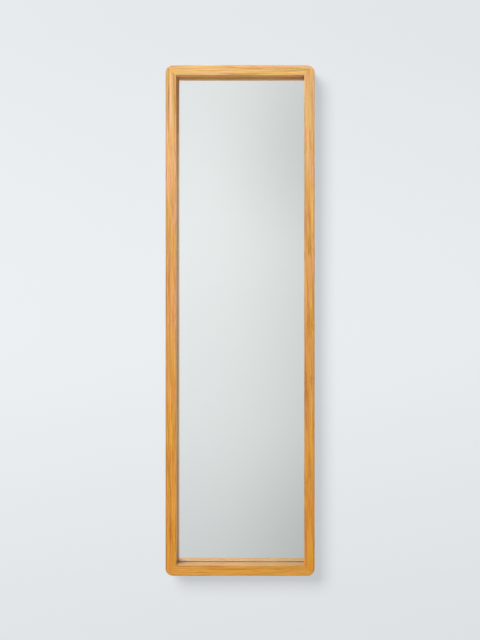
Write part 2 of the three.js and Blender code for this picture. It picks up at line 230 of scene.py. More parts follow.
def oak_material(name, along, seed, tint=(1.0, 1.0, 1.0), curls=()):
    """Straight-grained oak under a satin lacquer. along is "X" or "Z", the way the rail runs, tint
    is the board's own cast, and curls are the heights of spots where the grain swirls."""
    material, g, place = new_material(name)
    turned = place
    if along == "X":
        turn = {"Vector": place, "Rotation": (0, math.radians(90), 0)}
        turned = g.add("ShaderNodeMapping", turn, vector_type="POINT").outputs["Vector"]
    run_out = g.add("ShaderNodeMapping", {"Vector": turned, "Rotation": (0, GRAIN_SLANT, 0)})
    board = g.vector("ADD", run_out.outputs["Vector"], (seed * 0.37, seed * 0.11, seed * 0.73))

    # Slow and quick wander of the grain, then growth rings round a pith outside the board.
    bent = board
    parts = g.add("ShaderNodeSeparateXYZ", {"Vector": place})
    curl = 0.0
    for height in curls:
        off = g.math("ABSOLUTE", g.math("SUBTRACT", parts.outputs["Z"], height))
        near = g.spread(off, 0.0, CURL_REACH, 1.0, 0.0, smooth=True)
        curl = g.math("MAXIMUM", curl, near)
    if curls:
        swirl = g.streaks(board, 0.5, 75.0, roughness=0.5)
        centred = g.math("SUBTRACT", swirl, 0.5)
        sway = g.math("MULTIPLY", g.math("MULTIPLY", centred, curl), CURL_SWAY)
        bent = g.vector("ADD", bent, g.add("ShaderNodeCombineXYZ", {"X": sway}).outputs[0])
    for scale, stretch, reach in ((26.0, 0.045, 12 * MM), (24.0, 0.4, 5 * MM)):
        drawn = g.vector("MULTIPLY", board, (1.0, 1.0, stretch))
        inputs = {"Vector": drawn, "Scale": scale, "Detail": 1.5}
        field = g.add("ShaderNodeTexNoise", inputs).outputs["Color"]
        centred = g.vector("SUBTRACT", field, (0.5, 0.5, 0.5))
        bent = g.vector("ADD", bent, g.vector("MULTIPLY", centred, (reach, reach, 0.0)))
    pith = (seed * 0.37 - 0.045, seed * 0.11 + 0.06, 0.0)
    from_pith = g.vector("MULTIPLY", g.vector("SUBTRACT", bent, pith), (1.0, 1.0, 0.012))
    ring = g.math("FRACT", g.math("MULTIPLY", g.vector("LENGTH", from_pith), 1 / RING_SPACING))
    ring_stops = [(0.0, 0.0), (0.30, 0.25), (0.62, 1.0), (0.93, 0.85), (1.0, 0.0)]
    latewood = g.ramp(ring, [(at, grey(level)) for at, level in ring_stops], "EASE")

    # Tone by height, its upper part paled by the painted sheen, then streaks: ochre to pink, light
    # to dark, and a few rusty ones.
    tone_and_sheen_by_height = g.ramp(g.spread(parts.outputs["Z"], FRAME_BOTTOM, FRAME_TOP), OAK_TONES_AND_SHEEN)
    side = g.spread(parts.outputs["X"], FRAME_LEFT, FRAME_RIGHT)
    cast = g.times(g.mix(side, LEFT_CAST, RIGHT_CAST), (*tint, 1.0))
    base = g.times(tone_and_sheen_by_height, cast)
    hue = g.streaks(bent, 0.02, 270.0)
    hue_stops = [
        (0.36, (0.97, 1.06, 0.62)),
        (0.45, (0.99, 1.04, 0.84)),
        (0.56, (1.02, 0.98, 1.12)),
        (0.66, (1.04, 0.94, 1.34)),
    ]
    hued = g.times(base, g.ramp(hue, hue_stops))
    rust = g.spread(g.streaks(bent, 0.07, 150.0), 0.50, 0.64)
    rusted = g.times(hued, (0.94, 0.78, 0.58, 1.0), rust)
    broad_stops = [(0.32, grey(0.80)), (0.5, grey(1.0)), (0.68, grey(1.10))]
    toned = g.times(rusted, g.ramp(g.streaks(bent, 0.03, 150.0), broad_stops))
    fine_stops = [(0.32, (0.70, 0.64, 0.55)), (0.50, grey(1.04)), (0.70, grey(1.12))]
    lined = g.times(toned, g.ramp(g.streaks(bent, 0.012, 480.0, 3.0), fine_stops))
    ringed = g.times(lined, g.mix(latewood, (1.07, 1.07, 1.06, 1.0), (0.90, 0.82, 0.70, 1.0)))
    fibres = g.streaks(board, 0.02, 2600.0)
    fibred = g.times(ringed, g.spread(fibres, 0.3, 0.7, 0.95, 1.04))
    if curls:
        burnt = g.math("MULTIPLY", curl, g.spread(swirl, 0.48, 0.66))
        fibred = g.times(fibred, (0.86, 0.72, 0.60, 1.0), burnt)

    # Open pores: short dark dashes, thick in the early wood of each ring.
    pores = g.streaks(board, 0.045, 2300.0, 1.0, 0.5)
    early = g.spread(latewood, 0.0, 0.75, 1.0, 0.15)
    pore_depth = g.math("MULTIPLY", g.spread(pores, 0.60, 0.72), early)
    pored = g.mix(g.math("MULTIPLY", pore_depth, 0.45), fibred, PORE_COLOUR)

    # Handling rubs the arrises a little darker and smoother.
    arris = g.add("ShaderNodeAttribute", attribute_name="arris").outputs["Fac"]
    patches = g.spread(g.streaks(board, 0.3, 60.0), 0.3, 0.7, 0.5, 1.0)
    worn = g.math("MULTIPLY", arris, patches)
    rubbed = g.times(pored, (0.80, 0.82, 0.90, 1.0), g.math("MULTIPLY", worn, 0.8))

    # The faces round the mirror are shinier towards the foot and dull near the top. Their colour is
    # paler towards the foot, a painted sheen, and darker near the top, painted shade under the top
    # rail.
    inner = g.add("ShaderNodeAttribute", attribute_name="inner").outputs["Fac"]
    fade_start = FRAME_TOP - INNER_FADE
    paler = g.spread(parts.outputs["Z"], fade_start, FRAME_TOP, 1.0, 0.0, smooth=True)
    # Painted sheen pales the inner faces towards the foot; painted shade darkens them near the top.
    inner_painted_sheen_and_shade = g.mix(paler, (1.04, 0.95, 0.85, 1.0), (1.04, 1.18, 1.75, 1.0))
    colour = g.times(rubbed, inner_painted_sheen_and_shade, inner)

    relief = g.math("SUBTRACT", g.math("MULTIPLY", fibres, 0.35), pore_depth)
    rolling = g.bump(latewood, 0.05, 0.2 * MM)
    bump = {"Height": relief, "Strength": 0.35, "Distance": 0.06 * MM, "Normal": rolling}
    normal = g.add("ShaderNodeBump", bump).outputs["Normal"]
    dull = g.math("ADD", 0.42, g.math("MULTIPLY", pore_depth, 0.25))
    shaded = g.math("MULTIPLY", inner, g.spread(paler, 0.0, 1.0, 0.35, 0.0))
    rubbed_dull = g.math("SUBTRACT", dull, g.math("MULTIPLY", worn, 0.06))
    inner_sheen = g.spread(paler, 0.0, 1.0, 0.06, 0.6)
    finish_material(
        g,
        Base_Color=colour,
        Roughness=g.math("ADD", rubbed_dull, shaded),
        Normal=normal,
        Specular_IOR_Level=g.spread(inner, 0.0, 1.0, 0.2, inner_sheen),
    )
    return material


def plain_wood(name, light, dark, scale, fibre, rough):
    """Wood or wood fibre with no figure: short speckled fibres from light to dark."""
    material, g, place = new_material(name)
    cloud = g.noise(place, 18.0, 3.0, 0.6)
    speck = g.streaks(place, fibre, scale, 4.0, 0.7)
    colour = g.mix(g.spread(speck, 0.35, 0.65), dark, light)
    clouded = g.times(colour, g.ramp(cloud, [(0.3, grey(0.9)), (0.7, grey(1.06))]))
    normal = g.bump(speck, 0.4, 0.15 * MM)
    roughness = g.spread(speck, 0.2, 0.8, rough - 0.08, rough + 0.08)
    finish_material(g, Base_Color=clouded, Roughness=roughness, Normal=normal)
    return material


# ---------------- metal, glass and rubber


def metal_material(name, colour, dull, rough, grain):
    """Plated steel: tumbled, with faint scratches along Z and clouds of duller plating."""
    material, g, place = new_material(name)
    cloud = g.noise(place, 220.0, 3.0, 0.6)
    tumbled = g.noise(place, 1500.0, 3.0, 0.65)
    scratches = g.streaks(place, 0.05, grain)
    tint = g.mix(g.spread(cloud, 0.35, 0.7), colour, dull)
    roughness = g.math(
        "ADD",
        g.spread(tumbled, 0.3, 0.7, rough - 0.06, rough + 0.08),
        g.spread(scratches, 0.55, 0.75, 0.0, 0.1),
    )
    height = g.math("ADD", g.math("MULTIPLY", tumbled, 0.6), scratches)
    normal = g.bump(height, 0.15, 0.05 * MM)
    finish_material(g, Base_Color=tint, Roughness=roughness, Metallic=1.0, Normal=normal)
    return material


def silver_material():
    """The silvering, seen through the glass: a clean mirror with the faintest haze."""
    material, g, place = new_material("silvering")
    haze = g.streaks(place, 0.4, 9.0, 3.0)
    colour = g.mix(haze, srgb(246, 247, 247), srgb(248, 249, 249))
    roughness = g.spread(haze, 0.3, 0.8, 0.0, 0.006)
    finish_material(g, Base_Color=colour, Roughness=roughness, Metallic=1.0)
    return material


def glass_material():
    """Clear float glass, a little green where light goes along it."""
    material, g, place = new_material("float_glass")
    wave = g.noise(place, 4.0, 2.0, 0.5)
    colour = g.mix(wave, srgb(251, 253, 252), srgb(253, 254, 253))
    finish_material(g, Base_Color=colour, Roughness=0.0, IOR=1.52, Transmission_Weight=1.0)
    return material


def rubber_material(name, colour, rough, clear=0.0):
    material, g, place = new_material(name)
    grain = g.noise(place, 2400.0, 3.0, 0.6)
    cloud = g.noise(place, 160.0, 2.0, 0.5)
    shade = g.ramp(cloud, [(0.3, grey(0.92)), (0.7, grey(1.05))])
    tint = g.times(colour, shade)
    roughness = g.spread(grain, 0.3, 0.7, rough - 0.07, rough + 0.07)
    normal = g.bump(grain, 0.2, 0.05 * MM)
    finish_material(
        g,
        Base_Color=tint,
        Roughness=roughness,
        Normal=normal,
        Transmission_Weight=clear,
        Subsurface_Weight=0.3,
        Subsurface_Scale=2 * MM,
    )
    return material


# ---------------- mesh helpers


def new_object(name, data):
    thing = bpy.data.objects.new(name, data)
    bpy.context.scene.collection.objects.link(thing)
    return thing


def new_piece(name, mesh_maker, materials, smooth_angle=35):
    """A piece whose mesh is filled by mesh_maker(bmesh), smooth below smooth_angle degrees."""
    mesh = bpy.data.meshes.new(name)
    build = bmesh.new()
    mesh_maker(build)
    bmesh.ops.recalc_face_normals(build, faces=build.faces)
    build.to_mesh(mesh)
    build.free()
    for material in materials:
        mesh.materials.append(material)
    mesh.shade_smooth()
    mesh.set_sharp_from_angle(angle=math.radians(smooth_angle))
    return new_object(name, mesh)


def apply_modifiers(piece):
    """Writes the piece's modifiers into its mesh."""
    graph = bpy.context.evaluated_depsgraph_get()
    mesh = bpy.data.meshes.new_from_object(piece.evaluated_get(graph))
    piece.modifiers.clear()
    old = piece.data
    piece.data = mesh
    bpy.data.meshes.remove(old)


def boolean(piece, cutter, operation="DIFFERENCE"):
    """Cuts the piece with the cutter, which is then removed."""
    bpy.context.view_layer.update()
    modifier = piece.modifiers.new("cut", "BOOLEAN")
    modifier.operation = operation
    modifier.solver = "EXACT"
    modifier.object = cutter
    apply_modifiers(piece)
    bpy.data.objects.remove(cutter)


def soften(piece, width, angle=40):
    """Rounds the piece's sharp edges and gives it clean normals."""
    bpy.context.view_layer.update()
    bevel = piece.modifiers.new("bevel", "BEVEL")
    bevel.width = width
    bevel.segments = 2
    bevel.limit_method = "ANGLE"
    bevel.angle_limit = math.radians(angle)
    apply_modifiers(piece)
    piece.data.shade_smooth()
    piece.data.set_sharp_from_angle(angle=math.radians(angle))


def round_row(build, radius, y, count):
    """Points spaced evenly round the Y axis."""
    angles = [2 * math.pi * step / count for step in range(count)]
    return [build.verts.new((radius * math.cos(a), y, radius * math.sin(a))) for a in angles]


def lathe(build, profile, segments):
    """Turns a profile of (radius, y) points about the Y axis. Points on the axis close the ends."""
    rows = []
    for radius, y in profile:
        rows.append(round_row(build, radius, y, 1 if radius == 0 else segments))
    for first, second in zip(rows, rows[1:]):
        for step in range(segments):
            after = (step + 1) % segments
            if len(first) == 1:
                build.faces.new((first[0], second[step], second[after]))
            elif len(second) == 1:
                build.faces.new((first[step], first[after], second[0]))
            else:
                build.faces.new((first[step], first[after], second[after], second[step]))


def join_rows(build, rows):
    """Faces between each closed row of points and the next."""
    count = len(rows[0])
    for first, second in zip(rows, rows[1:]):
        for i in range(count):
            j = (i + 1) % count
            build.faces.new((first[i], first[j], second[j], second[i]))


def arc(centre, radius, start, end, steps):
    """Points on an arc, from the start angle to the end angle, both included."""
    points = []
    for step in range(steps + 1):
        angle = start + (end - start) * step / steps
        points.append((centre[0] + radius * math.cos(angle), centre[1] + radius * math.sin(angle)))
    return points


def prism(build, outline, depth, to_world):
    """Extrudes a closed outline by depth; to_world turns (a, b, height) into a point."""
    bottom = [build.verts.new(to_world(a, b, 0.0)) for a, b in outline]
    top = [build.verts.new(to_world(a, b, depth)) for a, b in outline]
    build.faces.new(bottom)
    build.faces.new(list(reversed(top)))
    count = len(outline)
    for i in range(count):
        j = (i + 1) % count
        build.faces.new((bottom[j], bottom[i], top[i], top[j]))


# ---------------- frame rails

SUPPORT = 0.6 * MM  # loop beside each arris that keeps the flat faces flat in shading
EASING = 0.3 * MM  # edges of the rebate
ARC_STATIONS = 14
EDGE_STATIONS = 3
STRAIGHT_STEP = 30 * MM


def rail_section():
    """The rail's section as (side, offset, depth, wear). An outer offset is measured from the outer
    outline and an inner one from the sight edge; depth runs from the front face."""
    points = []
    for step in range(11):
        a = math.radians(9 * step)
        wear = math.sin(2 * a)
        offset, depth = FRONT_ARRIS * (1 - math.sin(a)), FRONT_ARRIS * (1 - math.cos(a))
        points.append(("outer", offset, depth, wear))
    points.append(("outer", 0.0, FRONT_ARRIS + SUPPORT, 0.0))
    points.append(("outer", 0.0, FRAME_DEPTH - BACK_ARRIS - SUPPORT, 0.0))
    for step in range(6):
        a = math.radians(18 * step)
        depth = FRAME_DEPTH - BACK_ARRIS * (1 - math.sin(a))
        points.append(("outer", BACK_ARRIS * (1 - math.cos(a)), depth, 0.4 * math.sin(2 * a)))
    points.append(("outer", BACK_ARRIS + SUPPORT, FRAME_DEPTH, 0.0))
    points.append(("inner", REBATE_WIDTH + EASING, FRAME_DEPTH, 0.0))
    points.append(("inner", REBATE_WIDTH, FRAME_DEPTH - EASING, 0.0))
    points.append(("inner", REBATE_WIDTH, REBATE_DEPTH, 0.0))
    points.append(("inner", EASING, REBATE_DEPTH, 0.0))
    points.append(("inner", 0.0, REBATE_DEPTH - EASING, 0.0))
    points.append(("inner", 0.0, SIGHT_ARRIS + SUPPORT, 0.0))
    for step in range(5):
        a = math.radians(22.5 * step)
        offset = SIGHT_ARRIS * (1 - math.cos(a))
        points.append(("inner", offset, SIGHT_ARRIS * (1 - math.sin(a)), math.sin(2 * a)))
    points.append(("inner", SIGHT_ARRIS + SUPPORT, 0.0, 0.0))
    points.append(("outer", FRONT_ARRIS + SUPPORT, 0.0, 0.0))
    return points


def fan_point(pivot, toward, side, offset):
    """Where the line from the pivot, on the sight edge, towards an outline point meets an offset
    outline. Both ends of a rail fan out from its inner corners like this."""
    along_u, along_v = toward[0] - pivot[0], toward[1] - pivot[1]
    length = math.hypot(along_u, along_v)
    along_u, along_v = along_u / length, along_v / length
    if side == "inner":
        reach = offset / -along_v
        return pivot[0] + reach * along_u, pivot[1] + reach * along_v
    reach = (pivot[1] - offset) / -along_v
    if pivot[0] + reach * along_u < CORNER_RADIUS:
        from_u, from_v = pivot[0] - CORNER_RADIUS, pivot[1] - CORNER_RADIUS
        half = from_u * along_u + from_v * along_v
        inside = half**2 - (from_u**2 + from_v**2 - (CORNER_RADIUS - offset) ** 2)
        reach = -half + math.sqrt(max(inside, 0.0))
    return pivot[0] + reach * along_u, pivot[1] + reach * along_v


def rail_stations(length):
    """For each station along a rail, a function from (side, offset) to the point (u, v)."""
    shift = GLUE_LINE / 2 * math.sqrt(2)
    pivot = (RAIL_FACE + shift, RAIL_FACE)
    mitre_angle = math.radians(45) - shift / CORNER_RADIUS
    targets = []
    for step in range(ARC_STATIONS):
        angle = mitre_angle * (1 - step / ARC_STATIONS)
        u = CORNER_RADIUS * (1 - math.sin(angle))
        v = CORNER_RADIUS * (1 - math.cos(angle))
        targets.append((u, v))
    for step in range(EDGE_STATIONS):
        targets.append((CORNER_RADIUS + (pivot[0] - CORNER_RADIUS) * step / EDGE_STATIONS, 0.0))

    def near(target):
        return lambda side, offset: fan_point(pivot, target, side, offset)

    def far(target):
        def place(side, offset):
            u, v = fan_point(pivot, target, side, offset)
            return length - u, v

        return place

    def straight(u):
        return lambda side, offset: (u, offset if side == "outer" else RAIL_FACE - offset)

    run = length - 2 * pivot[0]
    count = max(2, round(run / STRAIGHT_STEP))
    stations = [near(target) for target in targets]
    stations += [straight(pivot[0] + run * step / count) for step in range(count + 1)]
    stations += [far(target) for target in reversed(targets)]
    return stations


def make_rail(name, corner, along, inward, length, material):
    """A rail whose outline starts at the frame's outer corner and runs along one edge of it."""
    section = rail_section()
    stations = rail_stations(length)
    depth_way = Vector((0, 1, 0))

    def fill(build):
        wear_layer = build.verts.layers.float.new("arris")
        inner_layer = build.verts.layers.float.new("inner")
        rows = []
        for station in stations:
            row = []
            for side, offset, depth, wear in section:
                u, v = station(side, offset)
                vertex = build.verts.new(corner + along * u + inward * v + depth_way * depth)
                vertex[wear_layer] = wear
                if side == "inner" and depth > SIGHT_ARRIS:
                    vertex[inner_layer] = 1.0
                row.append(vertex)
            rows.append(row)
        join_rows(build, rows)
        build.faces.new(rows[0])
        build.faces.new(list(reversed(rows[-1])))
        bmesh.ops.remove_doubles(build, verts=build.verts, dist=0.01 * MM)
        bmesh.ops.dissolve_degenerate(build, edges=build.edges, dist=0.005 * MM)

    piece = new_piece(f"oak_{name}", fill, [material], 30)
    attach(piece, "root")
    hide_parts(name)
    return piece


def make_frame():
    x_way, z_way = Vector((1, 0, 0)), Vector((0, 0, 1))
    bottom_left = Vector((FRAME_LEFT, FRAME_FRONT, FRAME_BOTTOM))
    top_left = Vector((FRAME_LEFT, FRAME_FRONT, FRAME_TOP))
    top_right = Vector((FRAME_RIGHT, FRAME_FRONT, FRAME_TOP))
    bottom_right = Vector((FRAME_RIGHT, FRAME_FRONT, FRAME_BOTTOM))
    left = oak_material("oak_left", "Z", 1.3)
    right = oak_material("oak_right", "Z", 4.1, curls=[FRAME_TOP - drop for drop in CURL_DROPS])
    top = oak_material("oak_top", "X", 7.7, (1.0, 1.02, 1.06))
    bottom = oak_material("oak_bottom", "X", 2.9, (1.02, 1.18, 1.42))
    make_rail("left_stile", bottom_left, z_way, x_way, FRAME_HEIGHT, left)
    make_rail("top_rail", top_left, x_way, -z_way, FRAME_WIDTH, top)
    make_rail("right_stile", top_right, -z_way, -x_way, FRAME_HEIGHT, right)
    make_rail("bottom_rail", bottom_right, -x_way, z_way, FRAME_WIDTH, bottom)


# ---------------- mirror sheet

GLASS_ARRIS = 0.5 * MM


def make_mirror(glass, silver):
    """One sheet of glass with seamed edges. Its back face carries the silvering."""
    low, high = corners_of("mirror_glass")

    def fill(build):
        size = high - low
        matrix = Matrix.Translation((low + high) / 2) @ Matrix.Diagonal((*size, 1.0))
        bmesh.ops.create_cube(build, size=1.0, matrix=matrix)
        bmesh.ops.bevel(build, geom=build.edges[:], offset=GLASS_ARRIS, segments=2, affect="EDGES")
        bmesh.ops.recalc_face_normals(build, faces=build.faces)
        for face in build.faces:
            face.material_index = 1 if face.normal.y > 0.9 else 0

    piece = new_piece("mirror_sheet", fill, [glass, silver], 20)
    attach(piece, "root")
    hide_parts("mirror_glass")


# ---------------- screws

SCREW_THREAD_PITCH = 1.4 * MM
SCREW_THREAD_HEIGHT = 0.45 * MM
SCREW_CORE_RADIUS = SCREW_SHANK_RADIUS - SCREW_THREAD_HEIGHT
SCREW_TIP = 4 * MM
SCREW_SIDES = 28
SCREW_TURN, SCREW_TURN_STEP = math.radians(12), math.radians(37)  # of the recesses, screw by screw
RECESS_LENGTH = 4 * MM
RECESS_WIDTH = 0.95 * MM
RECESS_DEPTH = 1.3 * MM


def head_profile(radius, height):
    """From the head's underside edge to the middle of its crown."""
    points = [(radius - 0.15 * MM, 0.0), (radius, 0.15 * MM), (radius, 0.42 * height)]
    for step in range(1, 9):
        a = math.radians(90 * step / 8)
        share = radius * (0.42 + 0.58 * math.cos(a))
        points.append((share, height * (0.42 + 0.58 * math.sin(a))))
    points.append((0.0, height))
    return points


def screw_mesh(build, length, head_radius, head_height):
    """A pan-head wood screw along Y: head at +Y, thread cut as a helix down to its gimlet point."""
    sides = SCREW_SIDES
    steps = round(length / SCREW_THREAD_PITCH * 8)
    rows = []
    for step in range(1, steps + 1):
        y = -length + length * step / steps
        share = min(1.0, (y + length) / SCREW_TIP)
        row = []
        for side in range(sides):
            angle = 2 * math.pi * side / sides
            phase = (y / SCREW_THREAD_PITCH + side / sides) % 1.0
            ridge = max(0.0, 1 - abs(phase - 0.5) * 4)
            run_out = min(1.0, max(0.0, -y / SCREW_THREAD_PITCH))
            radius = share * (SCREW_CORE_RADIUS + SCREW_THREAD_HEIGHT * ridge * run_out)
            row.append(build.verts.new((radius * math.cos(angle), y, radius * math.sin(angle))))
        rows.append(row)
    for radius, y in head_profile(head_radius, head_height)[:-1]:
        rows.append(round_row(build, radius, y, sides))
    tip = build.verts.new((0, -length, 0))
    crown = build.verts.new((0, head_height, 0))
    for side in range(sides):
        after = (side + 1) % sides
        build.faces.new((tip, rows[0][side], rows[0][after]))
        build.faces.new((rows[-1][after], rows[-1][side], crown))
        for first, second in zip(rows, rows[1:]):
            build.faces.new((first[side], first[after], second[after], second[side]))


def recess_cutter(build, head_height):
    """A cross that tapers towards the bottom of the recess."""
    levels = (
        (head_height + 0.4 * MM, RECESS_LENGTH / 2, RECESS_WIDTH / 2),
        (head_height - RECESS_DEPTH, RECESS_LENGTH / 3.2, RECESS_WIDTH / 3),
    )
    loops = []
    for y, long, short in levels:
        loop = []
        for quarter in range(4):
            turn = math.radians(90 * quarter)
            for a, b in ((long, -short), (long, short), (short, short)):
                x = a * math.cos(turn) - b * math.sin(turn)
                z = a * math.sin(turn) + b * math.cos(turn)
                loop.append(build.verts.new((x, y, z)))
        loops.append(loop)
    join_rows(build, loops)
    build.faces.new(loops[0])
    build.faces.new(list(reversed(loops[1])))


def screw_template(name, node, material):
    """One screw of the node's size, built at the origin with its head's underside at y = 0."""
    low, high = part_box(node)
    head_radius = (high[0] - low[0]) / 2
    head_height = SCREW_HEAD_HEIGHT
    length = (high[1] - low[1]) - head_height

    def fill(build):
        screw_mesh(build, length, head_radius, head_height)

    piece = new_piece(name, fill, [material])
    boolean(piece, new_piece("cross", lambda build: recess_cutter(build, head_height), []))
    piece.data.set_sharp_from_angle(angle=math.radians(40))
    mesh = piece.data
    bpy.data.objects.remove(piece)
    return mesh, head_height


def place_screws(mesh, head_height, nodes):
    """Copies of one screw at each node, each turned a little differently, as driven screws are."""
    for number, node in enumerate(nodes):
        low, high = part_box(node)
        piece = new_object(f"{node}_part", mesh.copy())
        turn = Matrix.Rotation(SCREW_TURN_STEP * number + SCREW_TURN, 4, "Y")
        centre = Vector(((low[0] + high[0]) / 2, high[1] - head_height, (low[2] + high[2]) / 2))
        piece.data.transform(Matrix.Translation(centre) @ turn)
        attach(piece, "root")
        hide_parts(node)


# ---------------- turn buttons

BUTTON_EDGE = 0.3 * MM
# The dish round a button's hole: out from the hole's edge, and down from the front face.
BUTTON_DISH = ((0.9 * MM, 0.0), (0.35 * MM, 0.12 * MM), (0.0, 0.45 * MM))


def stadium(reach, heel, steps):
    """Outline of a turn button: round its pivot at the origin, and out to a round tip at +X."""
    tip = reach - heel
    points = arc((0, 0), heel, math.radians(90), math.radians(270), steps)
    for step in range(1, steps):
        points.append((tip * step / steps, -heel))
    points += arc((tip, 0), heel, math.radians(-90), math.radians(90), steps)
    for step in range(1, steps):
        points.append((tip * (1 - step / steps), heel))
    return points


def button_mesh(build, reach, heel, thickness):
    """A stamped steel strip with rolled edges and a dished hole. Its back is at +Y."""
    outline = stadium(reach, heel, 16)
    loops = []
    for step in range(7):
        a = math.radians(30 * step)
        inset = BUTTON_EDGE * (1 - math.sin(a))
        rise = BUTTON_EDGE * (1 - math.cos(a))
        if step > 3:
            rise = thickness - BUTTON_EDGE * (1 + math.cos(a))
        loops.append(("outer", inset, rise))
    loops += [("hole", out, thickness - down) for out, down in BUTTON_DISH]
    loops.append(("hole", 0.0, 0.0))
    rows = []
    for kind, inset, rise in loops:
        row = []
        for a, b in outline:
            if kind == "outer":
                along = min(max(a, 0.0), reach - heel)
                away = Vector((a - along, b))
                scale = (away.length - inset) / away.length
                x, z = along + away.x * scale, away.y * scale
            else:
                angle = math.atan2(b, a)
                x = (BUTTON_HOLE_RADIUS + inset) * math.cos(angle)
                z = (BUTTON_HOLE_RADIUS + inset) * math.sin(angle)
            row.append(build.verts.new((x, rise, z)))
        rows.append(row)
    join_rows(build, [*rows, rows[0]])


def make_buttons(material):
    joints = {joint["child"]: joint for joint in frame["record"]["behaviour"]["joints"]}
    bodies = frame["record"]["behaviour"]["bodies"]
    for body, nodes in bodies.items():
        if not body.startswith("button_"):
            continue
        node = nodes[0]
        low, high = corners_of(node)
        pivot = Vector(joints[body]["pos_m"])
        centre = (low + high) / 2
        pointing = Vector((centre.x - pivot.x, 0, centre.z - pivot.z))
        long_side = max(high.x - low.x, high.z - low.z)
        heel = min(high.x - low.x, high.z - low.z) / 2
        thickness = high.y - low.y
        reach = long_side - heel

        def fill(build, reach=reach, heel=heel, thickness=thickness):
            button_mesh(build, reach, heel, thickness)

        piece = new_piece(f"{node}_part", fill, [material])
        turn = Matrix.Rotation(math.atan2(-pointing.z, pointing.x), 4, "Y")
        piece.data.transform(Matrix.Translation((pivot.x, low.y, pivot.z)) @ turn)
        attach(piece, body)
        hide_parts(node)


# ---------------- hangers

LOOP_RADIUS = RING_WIRE_RADIUS + RING_CLEARANCE
RING_SIDES = 24
STRAP_EDGE = 0.18 * MM
CUTTER_REACH = 10 * MM  # of the solids that cut the strap to its plan and drill it


def strap_outline():
    """Side view of the strap as (up, away from the frame), with the ring's bar at up = 0."""
    outer = LOOP_RADIUS + STRAP_THICKNESS
    start = -math.pi / 2
    points = arc((0, outer), outer, start, STRAP_CURL_END, 30)
    points += arc((0, outer), LOOP_RADIUS, STRAP_CURL_END, start, 30)
    return points


def make_strap(side, material):
    """A folded steel strap: it lies on the stile and curls round the ring's bar."""
    node = f"hanger_strap_{side}"
    low, high = corners_of(node)
    width = high.x - low.x
    centre_x = (low.x + high.x) / 2
    bar_z = high.z - LOOP_RADIUS - STRAP_THICKNESS
    bottom = low.z - bar_z

    def fill(build):
        outline = [(bottom, 0.0), *strap_outline(), (bottom, STRAP_THICKNESS)]

        def to_world(up, away, across):
            return Vector((low.x + across, low.y + away, bar_z + up))

        prism(build, outline, width, to_world)

    piece = new_piece(f"{node}_part", fill, [material], 30)

    def plan(build):
        half = width / 2
        outline = arc((0, bottom + half), half, math.pi, 2 * math.pi, 32)
        outline += [(half, CUTTER_REACH), (-half, CUTTER_REACH)]

        def to_world(across, up, away):
            return Vector((centre_x + across, low.y - MM + away, bar_z + up))

        prism(build, outline, CUTTER_REACH, to_world)

    boolean(piece, new_piece("plan", plan, []), "INTERSECT")
    for row in ("upper", "lower"):
        screw_low, screw_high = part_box(f"hanger_screw_{row}_{side}")
        hole_z = (screw_low[2] + screw_high[2]) / 2

        def hole(build, hole_z=hole_z):
            lying = Matrix.Rotation(math.pi / 2, 4, "X")
            bmesh.ops.create_cone(
                build,
                cap_ends=True,
                segments=40,
                radius1=STRAP_HOLE_RADIUS,
                radius2=STRAP_HOLE_RADIUS,
                depth=CUTTER_REACH,
                matrix=Matrix.Translation((centre_x, low.y, hole_z)) @ lying,
            )

        boolean(piece, new_piece("hole", hole, []))
    soften(piece, STRAP_EDGE)
    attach(piece, "root")
    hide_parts(node)


def ring_path(width, height):
    """The D-ring's centre line from end to end of its wire, as (x, z) from the bar."""
    half = width / 2
    bend = RING_CORNER_RADIUS
    leg = height - bend - half
    bar = (RING_BUTT_GAP / 2, 1.5 * MM, 3 * MM)
    points = [(x, 0.0) for x in bar]
    points += arc((half - bend, -bend), bend, math.radians(90), 0, 10)
    points += [(half, -bend - leg / 2)]
    points += arc((0, -bend - leg), half, 0, -math.pi, 40)
    points += [(-half, -bend - leg / 2)]
    points += arc((-half + bend, -bend), bend, math.pi, math.pi / 2, 10)
    return points + [(-x, 0.0) for x in reversed(bar)]


def make_ring(side, material):
    """A D-ring bent from round wire; its ends butt together inside the strap's curl."""
    node = f"hanger_ring_{side}"
    low, high = corners_of(node)
    joint = next(j for j in frame["record"]["behaviour"]["joints"] if j["child"] == f"ring_{side}")
    bar = Vector(joint["pos_m"])
    width = (high.x - low.x) - 2 * RING_WIRE_RADIUS
    height = (bar.z - low.z) - RING_WIRE_RADIUS
    points = [Vector((bar.x + x, bar.y, bar.z + z)) for x, z in ring_path(width, height)]

    def fill(build):
        rows = []
        for i, point in enumerate(points):
            before, after = points[max(i - 1, 0)], points[min(i + 1, len(points) - 1)]
            tangent = (after - before).normalized()
            outward = Vector((0, 1, 0)).cross(tangent)
            row = []
            for step in range(RING_SIDES):
                angle = 2 * math.pi * step / RING_SIDES
                spoke = Vector((0, 1, 0)) * math.cos(angle) + outward * math.sin(angle)
                row.append(build.verts.new(point + spoke * RING_WIRE_RADIUS))
            rows.append(row)
        join_rows(build, rows)
        build.faces.new(rows[0])
        build.faces.new(list(reversed(rows[-1])))

    piece = new_piece(f"{node}_part", fill, [material], 50)
    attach(piece, f"ring_{side}")
    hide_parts(node)


# ---------------- wall bumpers

BUMPER_SIDES = 48
BUMPER_BEVEL = 0.2 * MM
BUMPER_FOOT = 1 * MM  # height of the wide foot
BUMPER_STEP = 0.9 * MM  # from the foot in to the pad's side
BUMPER_SHOULDER = 1.6 * MM


